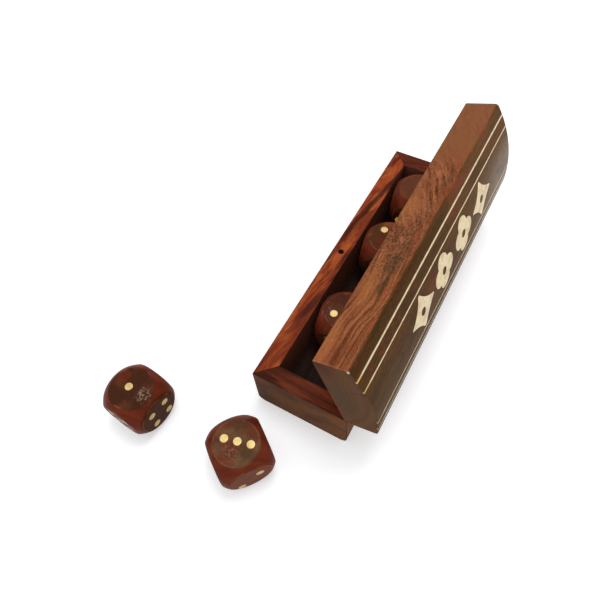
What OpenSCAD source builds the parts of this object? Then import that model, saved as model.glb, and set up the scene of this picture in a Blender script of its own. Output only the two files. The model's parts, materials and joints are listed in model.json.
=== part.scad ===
// Dice box with a hinged, round-topped lid and five round-cornered dice.
// Sizes are in millimetres. +X runs along the box, away from the end that the loose dice lie off.
// +Y points to the front wall, which has the catch hole, and the hinges are along the back wall.
// The origin is the middle of the underside, and the lid is drawn open on its stop.

/* [Dice] */
// Edge of a die, face to face
die_edge = 20.5; // [18:0.1:22]
// Diameter of the ball that rounds a die's corners, as a share of its edge
die_roundness = 1.27; // [1.15:0.01:1.35]
// Diameter of a pip
pip_d = 3.0; // [2:0.1:3.2]
// Distance of a pip from the middle lines of its face
pip_spread = 3.4; // [3.2:0.1:4]
// Thickness of a pip
pip_thickness = 1.2; // [0.8:0.1:2]
// How far a pip lies below its face
pip_sink = 0.05; // [0.02:0.01:0.2]
// Dice that the box holds in a row
dice_count = 5; // [5:1:8]

/* [Box] */
// Thickness of the four walls
wall = 7; // [6:0.1:9]
// Height of the box without its lid
box_height = 22.4; // [21:0.1:26]
// Room beside a die, on each side
side_room = 1.75; // [1.5:0.05:4]
// Room to spare along the whole row of dice
row_room = 9.5; // [7:0.5:20]
// Thickness of the base panel
base_thickness = 3.8; // [2.5:0.1:5]
// Width of the rabbet that the base panel lies in
rabbet = 3; // [2:0.1:4]
// Rounding of the long lower edges
bottom_round = 3; // [0.5:0.1:3.5]

/* [Lid] */
// Height of the lid's upright sides
lid_side_height = 12.4; // [10:0.1:18]
// Rise of the round top above the sides
crown_rise = 3.2; // [2:0.1:6]
// Rounding where the round top meets the sides
crown_edge_round = 1.6; // [0.5:0.1:2.5]
// Room between the dice and the lid's hollow
dice_headroom = 4.1; // [2.5:0.1:5]
// Rounding of the hollow's corners
hollow_corner = 3; // [1:0.1:5]
// Angle that the lid opens to
open_angle = 72.5; // [60:0.5:85]
// Gap between the rims when the lid is shut
closing_gap = 0.1; // [0.05:0.01:0.3]
// Gap between the bevels that stop the open lid
stop_gap = 0.1; // [0.05:0.01:0.3]

/* [Inlays] */
// Distance of the outer strips from the lid's sides
outer_strip_inset = 4.65; // [3:0.05:5]
// Distance between an outer and an inner strip
strip_pitch = 5; // [3:0.1:5]
// Width of an outer strip
outer_strip_width = 0.9; // [0.6:0.1:1.5]
// Width of an inner strip
inner_strip_width = 0.7; // [0.5:0.1:1.5]
// Depth of the strips below the round top
strip_depth = 0.5; // [0.4:0.1:2]
// Distance of the first ornament's middle from the lid's near end
ornament_near_margin = 38.75; // [32:0.25:42]
// Distance of the last ornament's middle from the lid's far end
ornament_far_margin = 31.75; // [25:0.25:36]
// Depth of the ornaments below the highest line of the round top
ornament_depth = 1.6; // [1.2:0.1:2.5]
// Length of a lozenge ornament, along the lid
lozenge_length = 17.5; // [14:0.5:18]
// Height of a lozenge ornament, across the lid
lozenge_height = 15.5; // [12:0.5:16]
// How far a lozenge's sides curve in
lozenge_waist = 1.3; // [0.5:0.1:2]
// Width of a lozenge's cut-off tips
lozenge_tip = 0.9; // [0.5:0.1:1.5]
// Diameter of a flower ornament's petals
petal_d = 7.4; // [6:0.1:7.6]
// Distance of a petal's middle from the flower's middle
petal_reach = 3.8; // [3.2:0.1:4]
// Diameter of the wooden eye in the middle of an ornament
eye_d = 3.2; // [2:0.1:3.6]
// Gap round each inlay
inlay_gap = 0.03; // [0.02:0.01:0.1]

/* [Hinges and catch] */
// Distance of a hinge's middle from the end of the box
hinge_end_off = 25; // [20:0.5:30]
// Length of a hinge
leaf_length = 16; // [12:0.5:24]
// Thickness of a hinge leaf
leaf_thickness = 0.7; // [0.5:0.05:0.9]
// Distance of a leaf's edge from the wall's inner face
leaf_margin = 0.8; // [0.4:0.1:1.5]
// Diameter of a hinge's barrel
barrel_d = 2.2; // [2:0.1:3]
// Distance of the barrel from the back face
barrel_setback = 0.1; // [0:0.05:0.3]
// Room round the barrel
barrel_room = 0.2; // [0.1:0.05:0.3]
// Diameter of a hinge pin
hinge_pin_d = 0.9; // [0.7:0.1:1.2]
// Radial running clearance of the hinge pins
pin_clearance = 0.05; // [0.03:0.01:0.09]
// Gap between two knuckles
knuckle_gap = 0.15; // [0.1:0.05:0.3]
// Distance between a leaf's two screws
screw_spacing = 9; // [6:0.5:10]
// Diameter of a screw's head
screw_head_d = 2; // [1.6:0.1:2.2]
// Diameter of a screw's shank
screw_shank_d = 0.9; // [0.7:0.1:1.1]
// Length of a screw
screw_length = 4; // [3:0.1:6]
// Diameter of the catch peg
peg_d = 1.7; // [1.2:0.1:2.2]
// Length of the catch peg below the lid
peg_reach = 2.5; // [1.5:0.1:3]
// Length of the catch peg inside the lid
peg_hold = 4; // [3:0.1:5]
// Radial room of the catch peg in its hole
catch_room = 0.25; // [0.2:0.01:0.4]

/* [Where the dice lie] */
// Free length of the well before the near die
near_die_gap = 19.8; // [10:0.1:22]
// Free length between the near and the middle die
middle_die_gap = 17.2; // [10:0.1:20]
// Free length between the far die and the far wall
far_die_gap = 0.5; // [0.3:0.1:3]
// How far the dice in the box lie off its middle line
die_in_shift = 0.35; // [0:0.05:0.4]
// Turn of the near die
near_die_turn = 5; // [0:0.5:7]
// Turn of the middle die
middle_die_turn = 7; // [0:0.5:7]
// Turn of the far die
far_die_turn = 7; // [0:0.5:7]
// Distance of the left loose die from the near end
left_die_off = 24.9; // [16:0.1:60]
// Distance of the left loose die from the front face
left_die_side = 36.7; // [0:0.1:80]
// Turn of the left loose die
left_die_turn = -94.4; // [-180:0.1:180]
// Distance of the right loose die from the near end
right_die_off = 23.7; // [16:0.1:60]
// Distance of the right loose die from the middle line, to the front
right_die_side = 11.1; // [-19:0.1:14]
// Turn of the right loose die
right_die_turn = 144.2; // [-180:0.1:180]

/* [Hidden] */
$fn = 64;

front_wood = [0.62, 0.25, 0.12];
end_wood = [0.36, 0.15, 0.10];
base_wood = [0.24, 0.11, 0.07];
lid_wood = [0.36, 0.22, 0.13];
die_wood = [0.30, 0.10, 0.07];
brass = [0.86, 0.76, 0.50];
inlay_brass = [0.86, 0.80, 0.63];

eps = 0.01;
past = 1;
well_width = die_edge + 2 * side_room;
well_length = dice_count * die_edge + row_room;
box_width = well_width + 2 * wall;
box_length = well_length + 2 * wall;
panel_gap = 0.1;
rabbet_land = 0.4;
lower_round = min(bottom_round, wall - rabbet - rabbet_land);

hinge_inset = barrel_d / 2 + barrel_setback;
axis_y = -box_width / 2 + hinge_inset;
axis_z = box_height + closing_gap / 2;
groove_r = barrel_d / 2 + barrel_room;
leaf_edge = wall - hinge_inset - leaf_margin;
mortise_gap = 0.05;
knuckle_length = (leaf_length - 2 * knuckle_gap) / 3;
screw_y = (groove_r + leaf_edge) / 2;
screw_clearance = 0.05;
screw_sink = 0.05;
seat_land = 0.1;
head_height = leaf_thickness - screw_sink - seat_land;
screw_slot = 0.25;
hinge_xs = [hinge_end_off - box_length / 2, box_length / 2 - hinge_end_off];

hollow_depth = max(base_thickness + die_edge - box_height, 0) + dice_headroom;
crown_r = (pow(box_width / 2, 2) + pow(crown_rise, 2)) / (2 * crown_rise);
crown_top = lid_side_height + crown_rise;
crown_mid = crown_top - crown_r;
edge_y = box_width / 2 - crown_edge_round;
edge_z = crown_mid + sqrt(pow(crown_r - crown_edge_round, 2) - pow(edge_y, 2));
peg_y = box_width / 2 - wall / 2;
peg_tip = peg_d / 4;

strip_outer_y = box_width / 2 - outer_strip_inset;
strip_inner_y = strip_outer_y - strip_pitch;
ornament_pitch = (box_length - ornament_near_margin - ornament_far_margin) / 3;
ornament_xs = [
    for (i = [0 : 3]) ornament_near_margin - box_length / 2 + i * ornament_pitch
];
lozenge_a = lozenge_length / 2 + lozenge_tip;
lozenge_b = lozenge_height / 2 + lozenge_tip;
lozenge_side = norm([lozenge_a, lozenge_b]);
lozenge_r = (pow(lozenge_side, 2) / 4 + pow(lozenge_waist, 2)) / (2 * lozenge_waist);

// Corner where the die's flat side ends and its ball-shaped edge begins, at mid height
flat_r = die_edge / 2 * sqrt(pow(die_roundness, 2) - 1);
// Half of the room that a die takes along X when it is turned by less than its flat side allows
function die_reach(turn) = min(
    die_edge / 2 * die_roundness,
    flat_r * abs(sin(turn)) + die_edge / 2 * abs(cos(turn))
);
near_die_x = -well_length / 2 + near_die_gap + die_reach(near_die_turn);
middle_die_x = near_die_x + die_reach(near_die_turn) + middle_die_gap + die_reach(middle_die_turn);
far_die_x = well_length / 2 - far_die_gap - die_reach(far_die_turn);

// Places its children, drawn as if the lid were shut, as they are with the lid open
module opened() {
    translate([0, axis_y, axis_z])
        rotate([open_angle, 0, 0])
            translate([0, -axis_y, -axis_z])
                children();
}

// Extrudes an outline drawn in Y and Z along the whole box
module along_box(length) {
    rotate([90, 0, 90])
        linear_extrude(height = length, center = true)
            children();
}

// The box's outline seen from its end, with rounded lower long edges
module box_outline() {
    straight = box_width / 2 - lower_round;
    translate([-box_width / 2, lower_round])
        square([box_width, box_height - lower_round]);
    translate([-straight, 0])
        square([2 * straight, lower_round + eps]);
    for (side = [-1, 1])
        translate([side * straight, lower_round])
            circle(r = lower_round);
}

// All four walls as one ring, before the mitres divide it
module wall_ring() {
    difference() {
        along_box(box_length)
            box_outline();
        translate([-well_length / 2, -well_width / 2, -past])
            cube([well_length, well_width, box_height + 2 * past]);
        translate([-well_length / 2 - rabbet, -well_width / 2 - rabbet, -past])
            cube([well_length + 2 * rabbet, well_width + 2 * rabbet, base_thickness + past]);
    }
}

// Wedge over one long side, up to the mitres
module long_mitre() {
    half = box_width / 2;
    translate([0, 0, -past])
        linear_extrude(height = box_height + 2 * past)
            polygon([
                [-box_length / 2, half], [box_length / 2, half],
                [box_length / 2 - half, 0], [half - box_length / 2, 0]
            ]);
}

// Wedge over the near end, between its mitres
module end_mitre() {
    half = box_width / 2;
    translate([0, 0, -past])
        linear_extrude(height = box_height + 2 * past)
            polygon([
                [-box_length / 2, -half], [-box_length / 2, half],
                [half - box_length / 2, 0]
            ]);
}

// Wedge behind the hinge axis that a bevel removes; side is 1 for the lid and -1 for the box
module stop_bevel(side) {
    reach = hinge_inset + past;
    drop = stop_gap / 2 / cos(open_angle / 2);
    translate([0, axis_y, axis_z])
        along_box(box_length + 2 * past)
            polygon([
                [0, side * drop],
                [-reach, side * (drop + reach * tan(open_angle / 2))],
                [-reach, -side * past],
                [0, -side * past]
            ]);
}

// Round groove for the barrels, and the flat mortises of one set of leaves
module hinge_cuts(side) {
    for (x = hinge_xs) {
        translate([x, axis_y, axis_z]) {
            rotate([0, 90, 0])
                cylinder(r = groove_r, h = leaf_length + 2 * barrel_room, center = true);
            mirror([0, 0, side > 0 ? 0 : 1])
                translate([-leaf_length / 2 - mortise_gap, 0, 0])
                    cube([
                        leaf_length + 2 * mortise_gap,
                        leaf_edge + mortise_gap,
                        closing_gap / 2 + leaf_thickness
                    ]);
            for (s = [-1, 1])
                mirror([0, 0, side > 0 ? 0 : 1])
                    translate([s * screw_spacing / 2, screw_y, 0])
                        cylinder(
                            d = screw_shank_d + 2 * screw_clearance,
                            h = closing_gap / 2 + screw_length + mortise_gap
                        );
        }
    }
}

module front_wall() {
    color(front_wood)
        difference() {
            intersection() {
                wall_ring();
                long_mitre();
            }
            translate([0, peg_y, box_height - peg_reach - past])
                cylinder(d = peg_d + 2 * catch_room, h = peg_reach + 2 * past);
        }
}

module back_wall() {
    color(front_wood)
        difference() {
            intersection() {
                wall_ring();
                mirror([0, 1, 0])
                    long_mitre();
            }
            stop_bevel(-1);
            hinge_cuts(-1);
        }
}

module near_end_wall() {
    color(end_wood)
        difference() {
            intersection() {
                wall_ring();
                end_mitre();
            }
            stop_bevel(-1);
        }
}

module far_end_wall() {
    color(end_wood)
        difference() {
            intersection() {
                wall_ring();
                mirror([1, 0, 0])
                    end_mitre();
            }
            stop_bevel(-1);
        }
}

module base_panel() {
    panel_length = well_length + 2 * (rabbet - panel_gap);
    panel_width = well_width + 2 * (rabbet - panel_gap);
    color(base_wood)
        translate([-panel_length / 2, -panel_width / 2, 0])
            cube([panel_length, panel_width, base_thickness]);
}

// The lid's outline seen from its end, with its underside on Z = 0
module lid_outline() {
    half = box_width / 2;
    fan = 2 * crown_r;
    steep = atan2(edge_y, edge_z - crown_mid);
    translate([-half, 0])
        square([box_width, edge_z]);
    for (side = [-1, 1])
        translate([side * edge_y, edge_z])
            circle(r = crown_edge_round);
    translate([0, crown_mid])
        intersection() {
            circle(r = crown_r, $fn = 360);
            polygon([
                [0, 0],
                [fan * sin(steep), fan * cos(steep)],
                [0, 2 * fan],
                [-fan * sin(steep), fan * cos(steep)]
            ]);
            translate([-half, lid_side_height / 2 - crown_mid])
                square([box_width, fan]);
        }
}

// The lid's whole outer shape, shut, before it is hollowed
module lid_body() {
    translate([0, 0, box_height + closing_gap])
        along_box(box_length)
            lid_outline();
}

// Hollow under the lid, with the rounded corners that a cutter leaves
module lid_hollow() {
    long = well_length / 2 - hollow_corner;
    short = well_width / 2 - hollow_corner;
    translate([0, 0, box_height + closing_gap - past])
        linear_extrude(height = hollow_depth + past)
            union() {
                square([well_length, 2 * short], center = true);
                square([2 * long, well_width], center = true);
                for (x = [-long, long], y = [-short, short])
                    translate([x, y])
                        circle(r = hollow_corner);
            }
}

// Bar from a strip's bottom to above the lid; gap widens it for its groove
module strip_bar(y, width, gap) {
    crown_here = crown_mid + sqrt(pow(crown_r, 2) - pow(y, 2));
    translate([
        -box_length / 2 - (gap > 0 ? past : 0),
        y - width / 2 - gap,
        box_height + closing_gap + crown_here - strip_depth
    ])
        cube([
            box_length + (gap > 0 ? 2 * past : 0),
            width + 2 * gap,
            strip_depth + crown_rise
        ]);
}

module lid_strip(y, width) {
    color(inlay_brass)
        opened()
            intersection() {
                strip_bar(y, width, 0);
                lid_body();
            }
}

// Lozenge with hollow sides, cut-off tips and an eye; gap moves every edge outwards
module lozenge_outline(gap) {
    difference() {
        intersection() {
            polygon([
                [lozenge_a + 2 * gap, 0], [0, lozenge_b + 2 * gap],
                [-lozenge_a - 2 * gap, 0], [0, -lozenge_b - 2 * gap]
            ]);
            square([lozenge_length + 2 * gap, lozenge_height + 2 * gap], center = true);
        }
        for (sx = [-1, 1], sy = [-1, 1])
            translate([
                sx * (lozenge_a / 2 + (lozenge_r - lozenge_waist) * lozenge_b / lozenge_side),
                sy * (lozenge_b / 2 + (lozenge_r - lozenge_waist) * lozenge_a / lozenge_side)
            ])
                circle(r = lozenge_r - gap, $fn = 180);
        circle(d = eye_d - 2 * gap);
    }
}

// Four round petals round an eye; gap moves every edge outwards
module flower_outline(gap) {
    difference() {
        union() {
            for (turn = [0 : 90 : 270])
                rotate(turn)
                    translate([petal_reach, 0])
                        circle(d = petal_d + 2 * gap);
            square(petal_reach, center = true);
        }
        circle(d = eye_d - 2 * gap);
    }
}

// Column from an ornament's bottom to above the lid
module ornament_column(x) {
    translate([x, 0, box_height + closing_gap + crown_top - ornament_depth])
        linear_extrude(height = ornament_depth + past)
            children();
}

module ornament(x) {
    color(inlay_brass)
        opened()
            intersection() {
                ornament_column(x)
                    children();
                lid_body();
            }
}

module lid_block() {
    color(lid_wood)
        opened()
            difference() {
                lid_body();
                lid_hollow();
                stop_bevel(1);
                hinge_cuts(1);
                for (side = [-1, 1]) {
                    strip_bar(side * strip_outer_y, outer_strip_width, inlay_gap);
                    strip_bar(side * strip_inner_y, inner_strip_width, inlay_gap);
                }
                for (i = [0, 3])
                    ornament_column(ornament_xs[i])
                        lozenge_outline(inlay_gap);
                for (i = [1, 2])
                    ornament_column(ornament_xs[i])
                        flower_outline(inlay_gap);
                translate([0, peg_y, box_height + closing_gap - past])
                    cylinder(d = peg_d + 2 * inlay_gap, h = peg_hold + past);
            }
}

// Space that a screw needs in a leaf: a through hole under a countersink. It points down.
module screw_seat() {
    hole_r = screw_shank_d / 2 + screw_clearance;
    seat_r = screw_head_d / 2 + screw_clearance;
    rotate_extrude()
        polygon([
            [0, -leaf_thickness - past], [hole_r, -leaf_thickness - past],
            [hole_r, -screw_sink - head_height], [seat_r, -screw_sink],
            [seat_r, past], [0, past]
        ]);
}

// One leaf with its knuckles, for the box. The barrel's middle is the origin.
module hinge_leaf(knuckles) {
    top = -closing_gap / 2;
    difference() {
        union() {
            translate([-leaf_length / 2, groove_r, top - leaf_thickness])
                cube([leaf_length, leaf_edge - groove_r, leaf_thickness]);
            for (x = knuckles)
                translate([x, 0, 0])
                    along_box(knuckle_length) {
                        circle(d = barrel_d);
                        translate([0, top - leaf_thickness])
                            square([groove_r + eps, leaf_thickness]);
                    }
        }
        rotate([0, 90, 0])
            cylinder(
                d = hinge_pin_d + 2 * pin_clearance, h = leaf_length + 2 * past, center = true
            );
        for (s = [-1, 1])
            translate([s * screw_spacing / 2, screw_y, top])
                screw_seat();
    }
}

module hinge_leaf_box(x) {
    color(brass)
        translate([x, axis_y, axis_z])
            hinge_leaf([0]);
}

module hinge_leaf_lid(x) {
    step = knuckle_length + knuckle_gap;
    color(brass)
        opened()
            translate([x, axis_y, axis_z])
                mirror([0, 0, 1])
                    hinge_leaf([-step, step]);
}

module hinge_pin(x) {
    color(brass)
        translate([x, axis_y, axis_z])
            rotate([0, 90, 0])
                cylinder(d = hinge_pin_d, h = leaf_length, center = true);
}

// Slotted countersunk screw that points down from the origin
module screw() {
    shank_r = screw_shank_d / 2;
    difference() {
        rotate_extrude()
            polygon([
                [0, 0], [screw_head_d / 2, 0], [shank_r, -head_height],
                [shank_r, screw_shank_d - screw_length], [shank_r / 3, -screw_length],
                [0, -screw_length]
            ]);
        translate([-screw_head_d, -screw_slot / 2, -screw_slot])
            cube([2 * screw_head_d, screw_slot, screw_slot + past]);
    }
}

module hinge_screws() {
    for (x = hinge_xs, s = [-1, 1])
        translate([
            x + s * screw_spacing / 2,
            axis_y + screw_y,
            axis_z - closing_gap / 2 - screw_sink
        ])
            screw();
}

module box_hinge_screws() {
    color(brass)
        hinge_screws();
}

module lid_hinge_screws() {
    color(brass)
        opened()
            translate([0, 0, 2 * axis_z])
                mirror([0, 0, 1])
                    hinge_screws();
}

module catch_peg() {
    color(brass)
        opened()
            translate([0, peg_y, box_height + closing_gap])
                rotate_extrude()
                    polygon([
                        [0, -peg_reach], [peg_d / 2 - peg_tip, -peg_reach],
                        [peg_d / 2, peg_tip - peg_reach], [peg_d / 2, peg_hold],
                        [0, peg_hold]
                    ]);
}

// Where the pips of a face lie, for its number
function pip_places(number) =
    let (p = pip_spread)
    let (falling = [[p, -p], [-p, p]])
    let (rising = [[p, p], [-p, -p]])
    let (middle = [[0, 0]])
    number == 1 ? middle
    : number == 2 ? falling
    : number == 3 ? concat(middle, falling)
    : number == 4 ? concat(falling, rising)
    : number == 5 ? concat(middle, falling, rising)
    : concat(falling, rising, [[p, 0], [-p, 0]]);

// Turns that bring the top face to each side, with the side's number: opposite faces make seven
die_faces = [
    [1, [0, 0, 0]], [6, [180, 0, 0]],
    [4, [0, 90, 0]], [3, [0, -90, 0]],
    [2, [-90, 0, 0]], [5, [90, 0, 0]]
];

// All 21 pips of a die, or their bores when gap is more than 0
module pip_set(gap) {
    for (face = die_faces)
        rotate(face[1])
            for (place = pip_places(face[0]))
                translate([place[0], place[1], die_edge / 2 - pip_sink - pip_thickness])
                    cylinder(d = pip_d + 2 * gap, h = pip_thickness + (gap > 0 ? past : 0));
}

module die_block() {
    color(die_wood)
        difference() {
            intersection() {
                cube(die_edge, center = true);
                sphere(d = die_edge * die_roundness, $fn = 96);
            }
            pip_set(inlay_gap);
        }
}

module die_pips() {
    color(brass)
        pip_set(0);
}

// Places of the five dice: tip brings a face to the top, and turn is about the upright line
module near_place() {
    translate([near_die_x, die_in_shift, base_thickness + die_edge / 2])
        rotate(near_die_turn)
            rotate([0, 90, 0])
                children();
}

module middle_place() {
    translate([middle_die_x, die_in_shift, base_thickness + die_edge / 2])
        rotate(90 + middle_die_turn)
            rotate([90, 0, 0])
                children();
}

module far_place() {
    translate([far_die_x, die_in_shift, base_thickness + die_edge / 2])
        rotate(180 + far_die_turn)
            children();
}

module left_place() {
    translate([-box_length / 2 - left_die_off, box_width / 2 + left_die_side, die_edge / 2])
        rotate(left_die_turn)
            children();
}

module right_place() {
    translate([-box_length / 2 - right_die_off, right_die_side, die_edge / 2])
        rotate(right_die_turn)
            rotate([0, 90, 0])
                children();
}

front_wall();
back_wall();
near_end_wall();
far_end_wall();
base_panel();
hinge_leaf_box(hinge_xs[0]);  // hinge_leaf_box_near
hinge_leaf_box(hinge_xs[1]);  // hinge_leaf_box_far
hinge_pin(hinge_xs[0]);  // hinge_pin_near
hinge_pin(hinge_xs[1]);  // hinge_pin_far
box_hinge_screws();
lid_block();
lid_strip(-strip_outer_y, outer_strip_width);  // lid_strip_back_outer
lid_strip(-strip_inner_y, inner_strip_width);  // lid_strip_back_inner
lid_strip(strip_inner_y, inner_strip_width);  // lid_strip_front_inner
lid_strip(strip_outer_y, outer_strip_width);  // lid_strip_front_outer
ornament(ornament_xs[0]) lozenge_outline(0);  // inlay_lozenge_near
ornament(ornament_xs[1]) flower_outline(0);  // inlay_flower_near
ornament(ornament_xs[2]) flower_outline(0);  // inlay_flower_far
ornament(ornament_xs[3]) lozenge_outline(0);  // inlay_lozenge_far
hinge_leaf_lid(hinge_xs[0]);  // hinge_leaf_lid_near
hinge_leaf_lid(hinge_xs[1]);  // hinge_leaf_lid_far
lid_hinge_screws();
catch_peg();
near_place() die_block();  // die_in_near
middle_place() die_block();  // die_in_middle
far_place() die_block();  // die_in_far
left_place() die_block();  // die_out_left
right_place() die_block();  // die_out_right
near_place() die_pips();  // pips_in_near
middle_place() die_pips();  // pips_in_middle
far_place() die_pips();  // pips_in_far
left_place() die_pips();  // pips_out_left
right_place() die_pips();  // pips_out_right
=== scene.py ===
import json
import math

import bpy
import numpy as np
from bpy.props import FloatProperty, FloatVectorProperty, IntProperty, PointerProperty
from mathutils import Matrix, Vector


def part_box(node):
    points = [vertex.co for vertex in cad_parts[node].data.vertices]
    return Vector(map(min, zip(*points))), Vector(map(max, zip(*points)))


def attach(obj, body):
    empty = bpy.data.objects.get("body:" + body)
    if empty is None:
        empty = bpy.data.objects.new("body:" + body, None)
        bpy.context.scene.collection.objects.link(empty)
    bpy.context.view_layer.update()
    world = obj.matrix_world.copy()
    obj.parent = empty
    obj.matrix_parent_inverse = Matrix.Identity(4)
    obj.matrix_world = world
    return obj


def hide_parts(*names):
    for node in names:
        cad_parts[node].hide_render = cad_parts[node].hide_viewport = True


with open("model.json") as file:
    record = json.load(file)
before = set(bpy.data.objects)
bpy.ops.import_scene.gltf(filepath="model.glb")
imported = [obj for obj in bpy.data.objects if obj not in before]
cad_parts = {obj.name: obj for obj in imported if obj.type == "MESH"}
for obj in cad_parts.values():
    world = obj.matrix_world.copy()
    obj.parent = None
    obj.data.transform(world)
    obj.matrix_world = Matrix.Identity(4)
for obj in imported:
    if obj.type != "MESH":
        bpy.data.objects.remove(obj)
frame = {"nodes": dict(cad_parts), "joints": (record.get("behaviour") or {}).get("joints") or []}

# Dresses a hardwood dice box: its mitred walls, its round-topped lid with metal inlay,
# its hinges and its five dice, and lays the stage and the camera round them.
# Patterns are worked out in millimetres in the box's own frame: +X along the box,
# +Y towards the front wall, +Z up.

bl_info = {
    "name": "Dice Box with Hinged Lid",
    "version": (1, 0, 0),
    "blender": (4, 5, 0),
    "location": "3D View > Sidebar > Dice Box",
    "description": "Finishes a hardwood dice box, its inlaid lid and its dice",
    "category": "Object",
}

MM = 0.001

# Sizes read from the packed model, in millimetres
HALF_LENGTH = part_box("front_wall")[1].x / MM
HALF_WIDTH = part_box("front_wall")[1].y / MM
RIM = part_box("front_wall")[1].z / MM
WELL_HALF_LENGTH = -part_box("near_end_wall")[1].x / MM
WELL_HALF_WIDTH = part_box("front_wall")[0].y / MM
LID_HINGE = next(j for j in frame["joints"] if j["name"] == "lid_hinge")
OPEN_TURN = math.radians(-LID_HINGE["range_deg"][0])

# Sizes repeated from the part's source, in millimetres: the catch hole's middle and radius,
# the height of the lid's flat sides, half of a die's edge, and the strips' distances from
# the lid's middle line
CATCH_HOLE = (0, 15.5)
CATCH_RADIUS = 1.15
LID_SIDE_HEIGHT = 12.4
DIE_HALF_EDGE = 10.25
OUTER_STRIP = 14.35
INNER_STRIP = 9.35

# Each die: the turn in degrees that tips its number 1 off the top, then its turn about
# the upright line. The part's source has the same values.
DICE = {
    "in_near": ((0, 90, 0), 5),
    "in_middle": ((90, 0, 0), 97),
    "in_far": ((0, 0, 0), 187),
    "out_left": ((0, 0, 0), -94.4),
    "out_right": ((0, 90, 0), 144.2),
}
# Pips listed one by one: how far a die's number lies off its face's middle, and its turn in
# degrees
PIP_DRIFT = {
    ("out_left", 1): (-1.2, 0.0, 0),
    ("out_left", 4): (0.6, 0.45, 0),
    ("out_right", 3): (-0.6, -0.3, 6.5),
    ("out_right", 2): (1.6, -0.2, -7),
    ("in_near", 3): (0, 0, -12),
}
# Turns in degrees that bring the top face to each side of a die, by the side's number
DIE_FACES = {
    1: (0, 0, 0),
    6: (180, 0, 0),
    4: (0, 90, 0),
    3: (0, -90, 0),
    2: (-90, 0, 0),
    5: (90, 0, 0),
}

# The front wall's dark vein: its place across the grain, its half width, and where it
# starts and stops along the grain. Its knot: middle and size.
FRONT_VEIN = (19.3, 1.6, 0, 62)
FRONT_KNOT = ((-34, 14.0), (6, 2.0))

# Marks on the lid's sides: middle (along from the near end, up from the underside), size
# each way, softness of the border, and how much the border sways
SIDE_MARKS = {
    "red corner": ((1.5, 2.0), (5, 3.5), 1.4, 2.0),
    "dark wedge": ((6.5, 6.2), (8.5, 2.1), 1.0, 1.5),
    "pale vein": ((17, 5.2), (13, 3.4), 1.2, 2.0),
    "upper comb": ((12, 9.2), (9, 1.9), 1.0, 1.0),
    "lower comb": ((23, 2.4), (10, 1.9), 1.0, 1.0),
    "near light": ((7, 1.4), (8, 2.2), 1.2, 1.0),
    "middle light": ((30, 3.6), (8, 2.4), 1.2, 1.0),
    "far light": ((66, 2.6), (7, 2.6), 1.2, 1.0),
    "strong streaks": ((80, 8.4), (11, 4.2), 1.4, 2.0),
    "specks": ((50, 5.4), (15, 6.4), 1.0, 1.5),
}
# Dark patches on the lid's sides, written like the marks, with their strength at the end
SIDE_PATCHES = (
    ((32, 8.3), (4.2, 1.3), 0.9, 3.0, 1.0),
    ((41, 6.6), (4.5, 1.6), 1.1, 4.0, 0.8),
    ((46, 9.2), (9, 1.0), 1.0, 3.0, 0.65),
    ((82, 10.2), (8, 1.2), 1.0, 3.0, 0.6),
    ((38, 12.2), (4, 1.0), 1.0, 3.0, 1.0),
)
# A pale fleck at the lid's near front corner: middle (along, across) and size
CORNER_FLECK = ((0.15, 18.75), (0.34, 0.28))
# How far the growth rings' middle lies from the lid's middle line, and below its underside
PITH_ACROSS = 6
PITH_DEPTH = 16

# The stage, in metres: the floor's half size and how far it lies below the dice; the point
# that the lamps face; and each lamp's direction from that point, distance and side
FLOOR_HALF = 3.0
FLOOR_DROP = 0.0001
LAMP_AIM = Vector((-0.02, 0.01, 0.02))
KEY_LAMP = ((0.17, -0.03, 0.98), 0.9, 0.32)
GLINT_LAMP = ((0.34, -0.06, 0.93), 0.8, 0.1)
# How much of the floor's added white reflections see
FLOOR_LIFT_IN_GLOSS = 0.4


def paint(red, green, blue):
    """A colour written as it shows, 0 to 255, as the linear values that shaders take."""
    shown = np.array([red, green, blue]) / 255
    linear = np.where(shown <= 0.04045, shown / 12.92, ((shown + 0.055) / 1.055) ** 2.4)
    return tuple(float(c) for c in linear)


# Colours of single marks as they show, 0 to 255, beside the main colours that the
# property groups hold
TINTS = {
    "knot": (84, 34, 28),
    "grime": (84, 52, 36),
    "red top": (86, 42, 30),
    "hole shade": (16, 8, 6),
    "bright end": (126, 60, 36),
    "dark end": (56, 26, 18),
    "panel ring": (30, 17, 12),
    "red corner": (150, 74, 50),
    "pale vein": (200, 128, 80),
    "pale streak": (174, 112, 76),
    "deep streak": (78, 44, 28),
    "clear streak": (186, 114, 76),
    "pink speck": (184, 122, 94),
    "red dash": (112, 50, 30),
    "smooth brown": (144, 90, 56),
    "smooth streak": (126, 72, 46),
    "pale grit": (206, 140, 96),
    "crown ring": (80, 54, 28),
    "far crown sheen": (124, 86, 48),
    "painted sheen": (152, 128, 97),
    "red fleck": (122, 62, 36),
    "nick": (58, 38, 20),
    "warm cloud": (134, 66, 44),
    "dark cloud": (70, 50, 28),
    "end ring": (98, 66, 43),
    "red end": (86, 46, 38),
    "olive end": (78, 66, 48),
    "check": (66, 46, 36),
    "edge highlight": (176, 122, 92),
    "corner_fleck": (214, 206, 196),
    "golden tip": (214, 166, 90),
    "filled groove": (92, 70, 44),
    "inlay tarnish": (196, 168, 116),
    "hinge tarnish": (130, 98, 52),
    "peg tarnish": (104, 90, 36),
    "pip tarnish": (166, 138, 84),
    "die ring": (82, 34, 22),
    "die glow": (132, 58, 36),
    "die mottle": (62, 38, 24),
    "die rim highlight": (170, 130, 104),
    "painted glint": (206, 186, 160),
    "painted glint dark": (50, 32, 24),
}
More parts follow.
